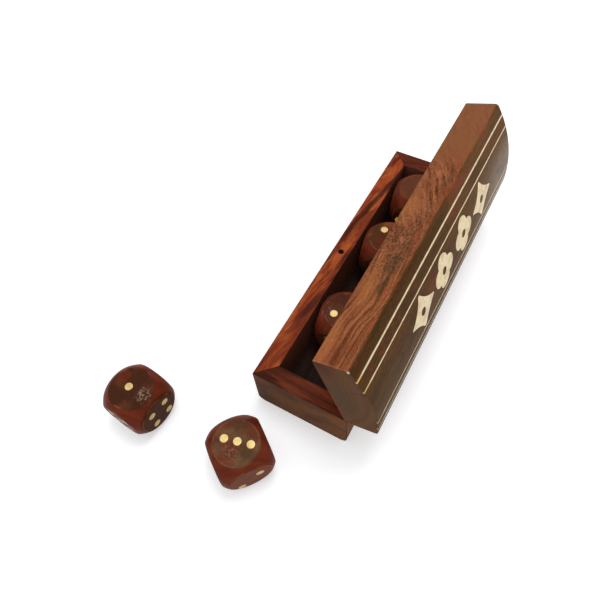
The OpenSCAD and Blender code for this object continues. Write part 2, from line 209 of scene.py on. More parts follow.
# Each die: the middle of its painted mottled highlight in its own axes, how strong that
# highlight is, and the two browns of its flat faces; in_middle's and in_far's browns are
# raised as painted light against the well's shade
DIE_GLINT_AND_BROWNS = {
    "in_near": ((-9.5, 6.0, -3.0), 0.3, paint(100, 58, 36), paint(78, 46, 30)),
    "in_middle": ((5.0, -9.4, 5.0), 0.3, paint(146, 78, 46), paint(84, 58, 32)),
    "in_far": ((-3.0, 4.0, 9.8), 0.3, paint(124, 72, 46), paint(112, 64, 42)),
    "out_left": ((5.6, 0.4, 9.8), 1.0, paint(98, 54, 34), paint(72, 41, 26)),
    "out_right": ((-9.9, 2.2, 2.4), 0.45, paint(118, 86, 58), paint(92, 66, 44)),
}
# Flat faces painted with their own brown, by the face's number: painted shade, darker and
# without blue, set against the pale reflection these faces catch
FACE_SHADE_TINTS = {
    ("out_left", 4): paint(73, 35, 0),
    ("out_right", 2): paint(117, 44, 0),
}


def colour_setting(name, description, shown):
    """A colour property; shown is its default as it shows, 0 to 255."""
    return FloatVectorProperty(
        name=name, description=description, subtype="COLOR", size=3, min=0, max=1,
        default=paint(*shown),
    )


# Shader maths


class Wire:
    """One output socket. Arithmetic on it adds a Math or a Vector Math node."""

    def __init__(self, recipe, socket):
        self.recipe = recipe
        self.socket = socket

    def __add__(self, other):
        return self.recipe.combine("ADD", self, other)

    __radd__ = __add__

    def __sub__(self, other):
        return self.recipe.combine("SUBTRACT", self, other)

    def __rsub__(self, other):
        return self.recipe.combine("SUBTRACT", other, self)

    def __mul__(self, other):
        return self.recipe.combine("MULTIPLY", self, other)

    __rmul__ = __mul__

    def __truediv__(self, other):
        return self.recipe.combine("DIVIDE", self, other)

    def __pow__(self, other):
        return self.recipe.combine("POWER", self, other)

    def __abs__(self):
        return self.recipe.combine("ABSOLUTE", self, 0.0)

    def most(self, other):
        """The larger of the two."""
        return self.recipe.combine("MAXIMUM", self, other)

    def fade(self, low, high):
        """0 below low, 1 above high and a smooth step between; low may be the larger."""
        turned = low > high
        ends = {1: min(low, high), 2: max(low, high), 3: float(turned), 4: float(not turned)}
        return self.recipe.node("MapRange", {0: self, **ends}, interpolation_type="SMOOTHSTEP")

    def beside(self, output):
        """Another output of the same node."""
        return Wire(self.recipe, self.socket.node.outputs[output])

    def axes(self):
        """The three parts of a vector."""
        parts = self.recipe.node("SeparateXYZ", {0: self})
        return [parts.beside(axis) for axis in range(3)]


class Recipe:
    """The nodes of one material, or of one of the worlds, written as expressions."""

    def __init__(self, name, collection="materials"):
        self.owner = getattr(bpy.data, collection).new(name)
        self.owner.use_nodes = True
        self.tree = self.owner.node_tree
        self.tree.nodes.clear()

    def node(self, kind, inputs=(), output=0, **settings):
        """Adds a node: its settings first, then its inputs' values or links."""
        made = self.tree.nodes.new("ShaderNode" + kind)
        for name, value in settings.items():
            setattr(made, name, value)
        for key, value in dict(inputs).items():
            if isinstance(value, Wire):
                self.tree.links.new(value.socket, made.inputs[key])
            else:
                made.inputs[key].default_value = value
        return Wire(self, made.outputs[output]) if made.outputs else None

    def combine(self, operation, left, right):
        """left and right under one operation, as vectors if either is one."""
        vectors = [isinstance(v, Wire) and v.socket.type == "VECTOR" for v in (left, right)]
        if not any(vectors):
            return self.node("Math", {0: left, 1: right}, operation=operation)
        if operation == "MULTIPLY" and not isinstance(right, tuple) and not vectors[1]:
            return self.node("VectorMath", {0: left, 3: right}, operation="SCALE")
        return self.node("VectorMath", {0: left, 1: right}, operation=operation)

    def place(self):
        """Object coordinates in millimetres."""
        return self.node("TexCoord", output=3) * (1 / MM)

    def lid_place(self):
        """Coordinates in millimetres in the shut lid's frame: u from its near end, v from
        its middle line towards the front, w up from its underside. The open lid is turned
        back about the hinge line."""
        hinge = Vector(LID_HINGE["pos_m"])
        turned_back = Matrix.Rotation(-OPEN_TURN, 3, "X")
        shift = Vector((HALF_LENGTH * MM, hinge.y, 0)) - turned_back @ hinge
        where = self.node("TexCoord", output=3)
        return self.node("Mapping", {0: where, 1: shift, 2: (-OPEN_TURN, 0, 0)}) * (1 / MM)

    def noise(self, where, scale, detail, rough, warp=0.0):
        """Smooth noise, mostly 0.3 to 0.7; scale is its waves per millimetre."""
        return self.node(
            "TexNoise",
            {"Vector": where, "Scale": scale, "Detail": detail, "Roughness": rough,
             "Distortion": warp},
        )

    def waves(self, axes, rates, detail=2.0, rough=0.5, seed=0.0, warp=0.0):
        """Noise with its own number of waves per millimetre along each of three axes. The
        seed moves it along the third."""
        along, across, up = (axis * rate for axis, rate in zip(axes, rates))
        where = self.node("CombineXYZ", {0: along, 1: across, 2: up + seed})
        return self.noise(where, 1.0, detail, rough, warp)

    def layers(self, depth, scale, detail):
        """Noise along one line, for uneven growth rings at that depth."""
        return self.node(
            "TexNoise", {"W": depth, "Scale": scale, "Detail": detail}, noise_dimensions="1D"
        )

    def mix(self, first, second, share, how="MIX"):
        """Colour first turning to second as share goes from 0 to 1. Each is a link, the
        name of a tint, or red, green and blue."""
        ends = []
        for colour in (first, second):
            if isinstance(colour, str):
                colour = paint(*TINTS[colour])
            ends.append(colour if isinstance(colour, Wire) else (*colour, 1))
        return self.node(
            "Mix", {0: share, 6: ends[0], 7: ends[1]}, output=2, data_type="RGBA",
            blend_type=how, clamp_factor=True,
        )

    def coats(self, colour, *coats):
        """The colour with others laid over it in turn, each by its own share."""
        for over, share in coats:
            colour = self.mix(colour, over, share)
        return colour

    def darken(self, colour, left, share):
        """The colour with only that part of its red, green and blue left where share is 1."""
        return self.mix(colour, left, share, "MULTIPLY")

    def spot(self, x, y, centre, size, soft, wobble=0.0):
        """1 inside an ellipse of that size round the centre, 0 outside it, with a soft and,
        through wobble, an uneven border."""
        across = ((x - centre[0]) / size[0]) ** 2
        up = ((y - centre[1]) / size[1]) ** 2
        return ((across + up) ** 0.5 + wobble).fade(1 + soft / 2, 1 - soft / 2)

    def finish(self, colour, rough, height, edge=0.25, shine=0.2, **shader):
        """The material, with a relief height and soft edges of that radius, both in
        millimetres, and that share of full shine."""
        relief = {"Height": height, "Distance": MM, "Strength": 1.0}
        if edge:
            relief["Normal"] = self.node("Bevel", {"Radius": edge * MM}, samples=6)
        inputs = {
            "Base Color": colour,
            "Roughness": rough,
            "Specular IOR Level": shine,
            "Normal": self.node("Bump", relief),
        }
        inputs.update({name.replace("_", " "): value for name, value in shader.items()})
        surface = self.node("BsdfPrincipled", inputs)
        self.node("OutputMaterial", {"Surface": surface})
        return self.owner


def rosewood(recipe, axes, pitch, wander, seed):
    """Figure of a plank whose grain runs along the first of three axes.

    Growth layers are uneven noise over the depth through the plank; the depth is bent by a
    slow noise that is stretched along the grain. Fibres are noise stretched thirteen times
    along the grain, and pores are the peaks of a finer one. Returns the three, each about
    0 to 1."""
    _, across, up = axes
    bend = (recipe.waves(axes, (0.016, 0.11, 0.11), 3.0, 0.55, seed) - 0.5) * wander
    ring = recipe.layers(across * 0.9 + up * 0.42 + bend + seed * 7, pitch, 3.0)
    fibre = recipe.waves(axes, (0.16, 2.1, 2.1), 3.0, 0.6, seed, 0.4)
    pore = recipe.waves(axes, (0.45, 4.6, 4.6), 1.0, 0.5, -seed)
    return ring.fade(0.32, 0.66), fibre.fade(0.25, 0.75), pore.fade(0.62, 0.74)


def put_on(material, *nodes):
    """Gives CAD nodes a material."""
    for name in nodes:
        slots = frame["nodes"][name].material_slots
        slots[0].link = "DATA"
        slots[0].material = material


# Walls and base


class WallFinish(bpy.types.PropertyGroup):
    """Colours and grain of the box's walls and base."""

    rim_colour: colour_setting("Rim", "Main colour of the long walls", (172, 76, 38))
    bright_colour: colour_setting(
        "Bright stripes", "Orange stripes of the long walls", (206, 106, 54)
    )
    streak_colour: colour_setting("Streaks", "Dark streaks of the long walls", (70, 30, 20))
    end_colour: colour_setting("Ends", "Main colour of the end walls' rims", (119, 53, 29))
    face_colour: colour_setting("Faces", "Colour of the outer faces", (121, 75, 38))
    # Painted shade: this greyer brown colours the well's inner faces for how they look in the
    # well's shade.
    well_shade_colour: colour_setting("Well", "Dark finish inside the well", (122, 78, 62))
    panel_colour: colour_setting("Panel", "Dark stain of the base panel", (52, 30, 22))
    ring_pitch: FloatProperty(
        name="Ring pitch", description="Growth rings per millimetre", default=0.3,
        min=0.05, max=2,
    )
    gloss: FloatProperty(
        name="Roughness", description="Roughness of the waxed wood", subtype="FACTOR",
        default=0.45, min=0.05, max=1,
    )


def outer_face(recipe, look, place, fibre, seed):
    """Plain brown of the walls' outer faces, with grime and a redder upper border."""
    height = place[2]
    grime = recipe.waves(place, (0.035, 0.08, 0.16), 3.0, 0.55, seed)
    red_top = height.fade(RIM - 2.6, RIM - 0.6) * grime.fade(0.3, 0.55)
    face = recipe.coats(
        look.face_colour, ("grime", grime.fade(0.4, 0.62) * 0.75), ("red top", red_top * 0.8)
    )
    return recipe.darken(face, (0.55, 0.48, 0.42), (1 - fibre) * 0.35)


def wall_wood(name, look, colours, slant, ends, seed, vein=None):
    """Waxed wood of one wall, with its grain along X, or along Y where ends is true.

    slant is the angle of the streaks to the wall in degrees. vein gives a broad dark streak
    with a knot beside it. The well's faces carry a greyer brown that is painted shade, the
    outer faces plain brown, and the mitre lines at the corners show as fine dark joints."""
    recipe = Recipe(name)
    x, y, z = recipe.place().axes()
    along, across = (y, x) if ends else (x, y)
    turn = math.radians(slant)
    run = along * math.cos(turn) + across * math.sin(turn)
    side = across * math.cos(turn) - along * math.sin(turn)
    grain = (run, side, z)
    ring, fibre, pore = rosewood(recipe, grain, look.ring_pitch, 10.0, seed)
    main, bright, streak = colours
    slow = recipe.waves(grain, (0.035, 0.14, 0.14), seed=seed)
    fine = recipe.layers(side + slow * 6 + z * 0.4, 1.1, 3.0)
    glow = recipe.waves(grain, (0.07, 0.3, 0.3), 3.0, 0.6, -seed)
    colour = recipe.coats(
        streak,
        (main, ring * 0.7 + 0.3),
        (bright, glow.fade(0.47, 0.64) * 0.8),
        (streak, slow.fade(0.54, 0.66) * 0.8),
    )
    colour = recipe.darken(colour, (0.62, 0.5, 0.5), fine.fade(0.5, 0.4) * 0.6)
    if vein:
        middle, half, start, stop = vein
        off = abs(side - middle + (fine - 0.5) * 2.5 + (slow - 0.5) * 5)
        dark = off.fade(half, half * 0.3) * run.fade(start, start + 9)
        dark = dark * run.fade(stop, stop - 9)
        knot = recipe.spot(x, y, *FRONT_KNOT, 1.2, (slow - 0.5) * 3)
        colour = recipe.coats(colour, (streak, dark * 0.85), ("knot", knot * 0.6))
    colour = recipe.darken(colour, (0.5, 0.42, 0.42), (1 - fibre) * 0.5)
    colour = recipe.darken(colour, (0.35, 0.28, 0.28), pore * 0.55)

    face = outer_face(recipe, look, (x, y, z), fibre, seed)
    outer = abs(x).fade(HALF_LENGTH - 0.3, HALF_LENGTH - 0.05)
    outer = outer.most(abs(y).fade(HALF_WIDTH - 0.3, HALF_WIDTH - 0.05))
    inner = (
        abs(x).fade(WELL_HALF_LENGTH + 0.25, WELL_HALF_LENGTH + 0.05)
        * abs(y).fade(WELL_HALF_WIDTH + 0.25, WELL_HALF_WIDTH + 0.05)
        * z.fade(RIM - 0.1, RIM - 0.7)
    )
    # Painted shade: the catch hole is coloured near black for the shade inside it.
    hole = recipe.spot(x, y, CATCH_HOLE, (CATCH_RADIUS, CATCH_RADIUS), 0.5)
    colour = recipe.coats(
        colour,
        (face, outer * z.fade(RIM - 0.05, RIM - 0.5)),
        # painted shade on the well's inner faces
        (look.well_shade_colour, inner),
        ("hole shade", hole),
    )
    mitre = abs((HALF_LENGTH - abs(x)) - (HALF_WIDTH - abs(y)))
    colour = recipe.darken(colour, (0.25, 0.2, 0.2), mitre.fade(0.25, 0.05) * 0.8)
    rough = look.gloss + (1 - fibre) * 0.12 + pore * 0.2
    height = fibre * 0.02 - pore * 0.04 + ring * 0.01
    return recipe.finish(colour, rough, height, edge=0.35, shine=0.04)


class DICEBOX_OT_polish_walls(bpy.types.Operator):
    """Finish the four mitred walls in streaked rosewood"""

    bl_idname = "dicebox.polish_walls"
    bl_label = "Polish Walls"

    def execute(self, context):
        look = context.scene.dicebox_walls
        long_walls = (look.rim_colour, look.bright_colour, look.streak_colour)
        end_walls = (look.end_colour, "bright end", "dark end")
        front = wall_wood("front_rosewood", look, long_walls, -9, False, 2.3, FRONT_VEIN)
        put_on(front, "front_wall")
        put_on(wall_wood("back_rosewood", look, long_walls, 6, False, 8.1), "back_wall")
        put_on(wall_wood("near_rosewood", look, end_walls, 2, True, 3.7), "near_end_wall")
        put_on(wall_wood("far_rosewood", look, end_walls, -4, True, 6.2), "far_end_wall")
        return {"FINISHED"}


class DICEBOX_OT_stain_base(bpy.types.Operator):
    """Stain the base panel dark"""

    bl_idname = "dicebox.stain_base"
    bl_label = "Stain Base"

    def execute(self, context):
        look = context.scene.dicebox_walls
        recipe = Recipe("stained_panel")
        ring, fibre, pore = rosewood(recipe, recipe.place().axes(), 0.5, 5.0, 11.0)
        colour = recipe.mix(look.panel_colour, "panel ring", ring * 0.7)
        colour = recipe.darken(colour, (0.5, 0.45, 0.4), (1 - fibre) * 0.5)
        height = fibre * 0.03 - pore * 0.05
        put_on(recipe.finish(colour, 0.6 + pore * 0.2, height, shine=0.05), "base_panel")
        return {"FINISHED"}


# Lid


class LidFinish(bpy.types.PropertyGroup):
    """Colours and figure of the lid."""

    side_colour: colour_setting("Sides", "Orange-brown colour of the sides", (146, 86, 52))
    light_colour: colour_setting(
        "Light figure", "Light tan of the sides' figure", (176, 108, 62)
    )
    line_colour: colour_setting("Dark figure", "Dark lines of the sides' figure", (98, 46, 24))
    red_colour: colour_setting("Red edges", "Red-brown along the upper edges", (154, 78, 46))
    crown_colour: colour_setting("Crown", "Olive-brown colour of the round top", (97, 66, 29))
    olive_colour: colour_setting(
        "Patches", "Dark olive of the patches in the figure", (66, 54, 34)
    )
    end_colour: colour_setting("Ends", "Colour of the end grain", (110, 74, 47))
    gloss: FloatProperty(
        name="Roughness", description="Roughness of the waxed wood", subtype="FACTOR",
        default=0.42, min=0.05, max=1,
    )


def flame_figure(recipe, look, place):
    """Colour of the lid's sides.

    Near the near end the growth lines run along the lid, rise by 2.6 mm and fall by 1.4 mm,
    so they form a tongue. Dark specks and patches follow, then streaks that fall by a half
    of their length, then smooth brown at the far end."""
    u, v, w = place
    bend = recipe.waves(place, (0.07, 0.2, 0.3), 3.0, 0.55) - 0.5

    def mark(name):
        centre, size, soft, sway = SIDE_MARKS[name]
        return recipe.spot(u, w, centre, size, soft, bend * sway)

    # Growth lines of the tongue, with a dark wedge, a pale vein and combed lines
    tongue = w - u.fade(13, 27) * 2.6 + u.fade(30, 46) * 1.4 + bend * 3.2
    lines = recipe.layers(tongue, 0.9, 4.0)
    near = u.fade(58, 40)
    comb = recipe.layers(w + bend * 1.2, 3.2, 1.0).fade(0.46, 0.56)
    side = recipe.coats(
        look.side_colour,
        (look.light_colour, lines.fade(0.5, 0.66) * near * 0.8),
        (look.line_colour, lines.fade(0.48, 0.38) * near * 0.75),
        ("red corner", mark("red corner") * 0.6),
        (look.line_colour, mark("dark wedge") * 0.6),
        ("pale vein", mark("pale vein") * lines.fade(0.52, 0.62) * 0.7),
        (look.line_colour, comb * (mark("upper comb") + mark("lower comb")) * 0.5),
        (look.light_colour, mark("near light") * 0.7),
        (look.light_colour, mark("middle light") * 0.6),
    )

    # Falling streaks past the middle
    run = u * 0.89 - w * 0.45
    fall = w * 0.89 + u * 0.45
    streak = recipe.waves((run, v, fall), (0.16, 0.4, 0.95), 4.0, 0.6)
    middle = u.fade(38, 58) * u.fade(98, 84)
    strong = mark("strong streaks")
    side = recipe.coats(
        side,
        (look.line_colour, streak.fade(0.5, 0.64) * middle * 0.8),
        ("pale streak", streak.fade(0.46, 0.34) * middle * 0.7),
        ("deep streak", streak.fade(0.52, 0.62) * strong * 0.55),
        ("clear streak", streak.fade(0.45, 0.36) * strong * 0.6),
        (look.light_colour, mark("far light") * 0.7),
    )

    # Specks and dark patches between the two
    spread = mark("specks")
    speck = recipe.waves(place, (1.0, 1.3, 1.3), 3.0, 0.75)
    patch = 0.0
    for centre, size, soft, sway, strength in SIDE_PATCHES:
        patch = (recipe.spot(u, w, centre, size, soft, bend * sway) * strength).most(patch)
    side = recipe.coats(
        side,
        (look.olive_colour, spread * speck.fade(0.5, 0.62) * 0.8),
        ("pink speck", spread * speck.fade(0.46, 0.33) * 0.65),
        (look.olive_colour, patch * 0.75),
    )

    # Red along the upper edge, and brown that goes smooth and pale towards the far end
    rusty = recipe.waves(place, (0.14, 0.3, 0.5), 3.0, 0.65)
    red = (w + bend * 6).fade(8.0, 11.6) * rusty.fade(0.46, 0.58) * u.fade(122, 96)
    dash = recipe.waves(place, (0.7, 2.0, 3.2), 2.0, 0.6)
    dashes = (w + bend * 6).fade(7.0, 9.5) * dash.fade(0.52, 0.62) * u.fade(90, 60)
    smooth = u.fade(86, 104)
    far = recipe.mix("smooth brown", "smooth streak", streak.fade(0.48, 0.66) * 0.5)
    side = recipe.coats(
        side, (look.red_colour, red * 0.7), ("red dash", dashes * 0.55), (far, smooth * 0.85)
    )
    grit = recipe.waves(place, (1.1, 2.2, 2.2), 3.0, 0.7)
    gritty = 1 - smooth * 0.8
    side = recipe.darken(side, (0.5, 0.44, 0.4), grit.fade(0.52, 0.66) * gritty * 0.5)
    return recipe.mix(side, "pale grit", grit.fade(0.44, 0.32) * gritty * 0.28)


def crown_wood(recipe, look, place, ring, cloud, ragged):
    """Colour of the lid's round top: olive brown with fine grain, red flecks and dark nicks,
    a red cloud past the middle, and a paler tan over the far end that is painted sheen."""
    u, v, _ = place
    # Painted sheen: towards the far end the top is paled to tan, standing for the pale
    # reflection that its curve catches there.
    crown = recipe.coats(
        look.crown_colour,
        ("crown ring", (1 - ring) * 0.55),
        ("far crown sheen", u.fade(52, 100) * 0.5),
        ("painted sheen", u.fade(88, 122) * v.fade(10, -4) * 0.62),
    )
    grain = recipe.waves(place, (0.5, 1.6, 1.6), 3.0, 0.7)
    crown = recipe.darken(crown, (0.6, 0.55, 0.46), grain.fade(0.48, 0.64) * 0.5)
    flecks = recipe.waves(place, (0.5, 1.1, 1.0), 3.0, 0.7)
    nick = recipe.waves(place, (0.8, 2.4, 2.4), 2.0, 0.6)
    crown = recipe.coats(
        crown,
        ("red fleck", flecks.fade(0.55, 0.65) * 0.5),
        ("nick", nick.fade(0.58, 0.68) * 0.5),
    )
    crown = recipe.darken(crown, (0.8, 0.76, 0.7), abs(v).fade(14, 16.5) * u.fade(90, 40))
    warm = cloud.fade(0.5, 0.64) * u.fade(62, 78) * v.fade(7, 11)
    warm = warm.most(recipe.spot(u, v, (49, 2), (6, 5), 1.2, (ragged - 0.5) * 2) * 0.6)
    spray = recipe.spot(u, v, (22, 11), (16, 5), 1.4, (ragged - 0.5) * 3)
    warm = warm.most(spray * flecks.fade(0.5, 0.6) * 0.8)
    return recipe.coats(
        crown, ("warm cloud", warm * 0.75), ("dark cloud", cloud.fade(0.46, 0.34) * 0.5)
    )


def end_grain(recipe, look, place, bend):
    """Colour of the lid's ends: arcs of growth round a pith below the block, a redder front
    corner, an olive middle and a fine check."""
    _, v, w = place
    pith = ((v - PITH_ACROSS) ** 2 + (w + PITH_DEPTH) ** 2) ** 0.5 + bend * 2.5
    arcs = recipe.layers(pith, 0.45, 3.0)
    olive = recipe.spot(v, w, (-1, 5), (10, 4), 1.5, bend)
    check = abs(v - 3.5 - w * 0.3 + bend * 1.5).fade(0.4, 0.1) * w.fade(8.5, 10)
    return recipe.coats(
        look.end_colour,
        ("end ring", arcs.fade(0.42, 0.6) * 0.8),
        ("red end", v.fade(8, 18) * w.fade(9, 3) * 0.7),
        ("olive end", olive * 0.5),
        ("check", check * 0.7),
    )


class DICEBOX_OT_figure_lid(bpy.types.Operator):
    """Finish the lid: flame figure on its sides, olive-brown heartwood on its round top"""

    bl_idname = "dicebox.figure_lid"
    bl_label = "Figure Lid"

    def execute(self, context):
        look = context.scene.dicebox_lid
        recipe = Recipe("figured_rosewood")
        place = recipe.lid_place().axes()
        u, v, w = place
        ring, fibre, pore = rosewood(recipe, place, 0.3, 8.0, 5.5)

        # Heartwood covers the top, and leaves its long edges a ragged red border that is a
        # little wider past the near third
        cloud = recipe.waves(place, (0.045, 0.16, 0.1), 3.0, 0.6)
        ragged = recipe.waves(place, (0.2, 0.6, 0.3), 3.0, 0.6)
        depth = (HALF_WIDTH - abs(v)) + (w - LID_SIDE_HEIGHT + 0.3)
        border = cloud.fade(0.47, 0.58) * u.fade(38, 50) * 0.6 + (ragged - 0.5) * 2.6
        heart = (depth - border).fade(-0.35, 0.55)
        rust = recipe.waves(place, (0.22, 0.8, 0.8), 3.0, 0.6)

        # The ends, and a ragged painted highlight along the sides' short edges, where their soft
        # arris catches the light
        bend = ragged - 0.5
        from_middle = abs(u - HALF_LENGTH)
        at_end = from_middle.fade(HALF_LENGTH - 0.3, HALF_LENGTH - 0.05)
        near_end = from_middle.fade(HALF_LENGTH - 0.9, HALF_LENGTH - 0.3)
        rubbed = near_end * w.fade(12.6, 11.8) * ragged.fade(0.35, 0.6)
        colour = recipe.coats(
            flame_figure(recipe, look, place),
            (look.red_colour, depth.fade(-0.5, 0.3) * rust.fade(0.46, 0.58) * 0.8),
            (look.crown_colour, depth.fade(-0.4, 0.4) * 0.35),
            (crown_wood(recipe, look, place, ring, cloud, ragged), heart),
            ("edge highlight", rubbed * 0.45),
            (end_grain(recipe, look, place, bend), at_end),
        )
        lined = (1 - fibre) * (0.3 - at_end * 0.15)
        colour = recipe.darken(colour, (0.55, 0.48, 0.44), lined)
        colour = recipe.darken(colour, (0.4, 0.34, 0.32), pore * 0.35 * (1 - at_end))
        corner_fleck = recipe.spot(u, v, *CORNER_FLECK, 0.8, bend) * w.fade(11.5, 12)
        colour = recipe.mix(colour, "corner_fleck", corner_fleck * 0.85)

        rough = look.gloss + (1 - fibre) * 0.1 + pore * 0.12 + at_end * 0.1
        height = fibre * 0.02 - pore * 0.035
        sheen = u.fade(76, 124) * v.fade(11, 1) * heart * (1 - at_end) * 0.28
        material = recipe.finish(
            colour, rough, height, edge=0.55, shine=0.04, Coat_Weight=sheen,
            Coat_Roughness=0.22,
        )
        put_on(material, "lid_block")
        return {"FINISHED"}


# Metal


class MetalFinish(bpy.types.PropertyGroup):
    """Colours of the inlays, the pips, the hinges and the catch peg."""

    inlay_colour: colour_setting(
        "Inlay", "Pale metal of the strips and ornaments", (246, 226, 186)
    )
    pip_colour: colour_setting("Pips", "Metal of the dice's pips", (216, 190, 128))
    hinge_colour: colour_setting("Hinges", "Metal of the hinges", (206, 172, 98))
    peg_colour: colour_setting("Catch peg", "Greenish brass of the catch peg", (178, 160, 74))
    inlay_rough: FloatProperty(
        name="Inlay roughness", description="Roughness of the rubbed inlay",
        subtype="FACTOR", default=0.5, min=0.05, max=1,
    )


def brushed_metal(name, colour, tarnish, rough, metallic, stroke, inlaid=False):
    """Rubbed metal: fine scratches stretched along X and slow tarnish. Inlaid strips have
    the wood's finish over their long edges and golden near tips."""
    recipe = Recipe(name)
    place = recipe.lid_place() if inlaid else recipe.place()
    x, y, z = place.axes()
    scratch = recipe.waves((x, y, z), (0.5, stroke, stroke), 2.0, 0.6)
    cloud = recipe.noise(place, 0.35, 3.0, 0.6)
    tone = recipe.coats(
        colour,
        (tarnish, cloud.fade(0.42, 0.7) * 0.5),
        (tarnish, scratch.fade(0.55, 0.75) * 0.25),
    )
    if inlaid:
        ragged = (scratch - 0.5) * 0.25
        off = abs(y)
        outer = (abs(off - OUTER_STRIP) + ragged).fade(0.24, 0.42)
        outer = outer * off.fade(OUTER_STRIP - 0.85, OUTER_STRIP - 0.65)
        inner = (abs(off - INNER_STRIP) + ragged).fade(0.2, 0.34)
        inner = inner * off.fade(INNER_STRIP - 0.45, INNER_STRIP - 0.37)
        inner = inner * off.fade(INNER_STRIP + 0.55, INNER_STRIP + 0.45)
        tip = x.fade(5, 1.5) * scratch.fade(0.2, 0.45)
        tone = recipe.coats(
            tone, ("golden tip", tip * 0.9), ("filled groove", outer.most(inner) * 0.85)
        )
    return recipe.finish(
        tone, rough + cloud * 0.12, scratch * 0.006, edge=0.06, Metallic=metallic
    )


class DICEBOX_OT_rub_inlays(bpy.types.Operator):
    """Finish the lid's strips and ornaments in pale rubbed metal"""

    bl_idname = "dicebox.rub_inlays"
    bl_label = "Rub Inlays"

    def execute(self, context):
        look = context.scene.dicebox_metal
        metal = brushed_metal(
            "inlay_metal", look.inlay_colour, "inlay tarnish", look.inlay_rough,
            0.35, 3.0, True,
        )
        inlays = [name for name in frame["nodes"] if name.startswith(("lid_strip", "inlay_"))]
        put_on(metal, *inlays)
        return {"FINISHED"}


class DICEBOX_OT_polish_hinges(bpy.types.Operator):
    """Finish the hinges, their pins and screws and the catch peg"""

    bl_idname = "dicebox.polish_hinges"
    bl_label = "Polish Hinges"

    def execute(self, context):
        look = context.scene.dicebox_metal
        brass = brushed_metal("hinge_metal", look.hinge_colour, "hinge tarnish", 0.3, 0.95, 6.0)
        put_on(brass, *(name for name in frame["nodes"] if "hinge" in name))
        peg = brushed_metal("peg_metal", look.peg_colour, "peg tarnish", 0.45, 0.6, 6.0)
        put_on(peg, "catch_peg")
        return {"FINISHED"}


# Dice


class DiceFinish(bpy.types.PropertyGroup):
    """Form and colours of the dice."""

    roundness: FloatProperty(
        name="Ball", description="Ball that rounds a die, as a share of its edge",
        default=1.27, min=1.15, max=1.35,
    )
    softness: FloatProperty(
        name="Softness", description="Softness where a flat face meets the ball",
        unit="LENGTH", default=0.0002, min=0.00002, max=0.001, precision=5,
    )
    steps: IntProperty(
        name="Steps", description="Grid steps along a die's edge", default=64, min=16,
        max=120,
    )
    pip_diameter: FloatProperty(
        name="Pip", description="Diameter of a pip", unit="LENGTH", default=0.003,
        min=0.002, max=0.0032, precision=4,
    )
    pip_spread: FloatProperty(
        name="Pip spread", description="Distance of a pip from its face's middle lines",
        unit="LENGTH", default=0.0034, min=0.0032, max=0.004, precision=4,
    )
    edge_colour: colour_setting("Edges", "Red-brown colour of the round edges", (120, 48, 27))


def turn_matrix(degrees):
    """Turns about X, then Y, then Z, as a matrix."""
    turns = [Matrix.Rotation(math.radians(a), 3, axis) for a, axis in zip(degrees, "XYZ")]
    return np.array(turns[2] @ turns[1] @ turns[0])


def die_frame(name):
    """Centre of a die, half of its edge, and the matrix from its own axes."""
    low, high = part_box("die_" + name)
    tip, turn = DICE[name]
    centre = np.array((low + high) / 2)
    return centre, (high.z - low.z) / 2, turn_matrix((0, 0, turn)) @ turn_matrix(tip)


def add_mesh(name, points, quads, own=None):
    """A smooth mesh object from arrays of points and quads. own gives the points in the
    piece's own axes, which its material reads."""
    mesh = bpy.data.meshes.new(name)
    mesh.vertices.add(len(points))
    mesh.vertices.foreach_set("co", np.ascontiguousarray(points, np.float32).ravel())
    mesh.loops.add(quads.size)
    mesh.loops.foreach_set("vertex_index", quads.astype(np.int32).ravel())
    mesh.polygons.add(len(quads))
    mesh.polygons.foreach_set("loop_start", np.arange(0, quads.size, 4, dtype=np.int32))
    mesh.update(calc_edges=True)
    mesh.validate()
    mesh.polygons.foreach_set("use_smooth", np.ones(len(mesh.polygons), bool))
    if own is not None:
        layer = mesh.attributes.new("own", "FLOAT_VECTOR", "POINT")
        layer.data.foreach_set("vector", np.ascontiguousarray(own, np.float32).ravel())
    made = bpy.data.objects.new(name, mesh)
    bpy.context.scene.collection.objects.link(made)
    return made


def cube_sphere(steps):
    """Directions over a cube's six faces and the quads between them, welded at its edges.

    On each face the two parameters run from -1 to 1 as tangents of equal angles, so the
    steps are even when they are thrown onto a ball."""
    line = np.tan(np.linspace(-math.pi / 4, math.pi / 4, steps + 1))
    a, b = np.meshgrid(line, line, indexing="ij")
    one = np.ones_like(a)
    sides = [(one, a, b), (-one, b, a), (b, one, a), (a, -one, b), (a, b, one), (b, a, -one)]
    points = np.concatenate([np.stack(s, -1).reshape(-1, 3) for s in sides])
    row = np.arange(steps * (steps + 1)).reshape(steps, steps + 1)[:, :-1].ravel()
    quad = np.stack([row, row + steps + 1, row + steps + 2, row + 1], 1)
    size = (steps + 1) ** 2
    quads = np.concatenate([quad + k * size for k in range(6)])
    _, first, back = np.unique(
        np.round(points, 6), axis=0, return_index=True, return_inverse=True
    )
    directions = points[first] / np.linalg.norm(points[first], axis=1, keepdims=True)
    return directions, back.ravel()[quads]


def die_skin(half, look, seed):
    """Points and quads of a die: in each direction the nearer of a cube and a ball.

    Their distances a and b join softly as -k log(exp(-a/k) + exp(-b/k)), which lies inside
    both, and slow waves over the flat faces take off 0.02 to 0.08 mm."""
    directions, quads = cube_sphere(look.steps)
    cube = half / np.abs(directions).max(1)
    ball = np.full_like(cube, half * look.roundness)
    k = look.softness
    reach = -k * np.logaddexp(-cube / k, -ball / k)
    waves = np.sin(directions @ np.array([5.0, 3.1, 4.2]) + seed)
    waves = waves * np.sin(directions @ np.array([-3.3, 6.1, 2.4]) + 2 * seed)
    flat = ball / cube
    reach = reach - (0.00005 + 0.00003 * waves) * np.clip((flat - 0.98) * 25, 0, 1)
    return directions * reach[:, None], quads


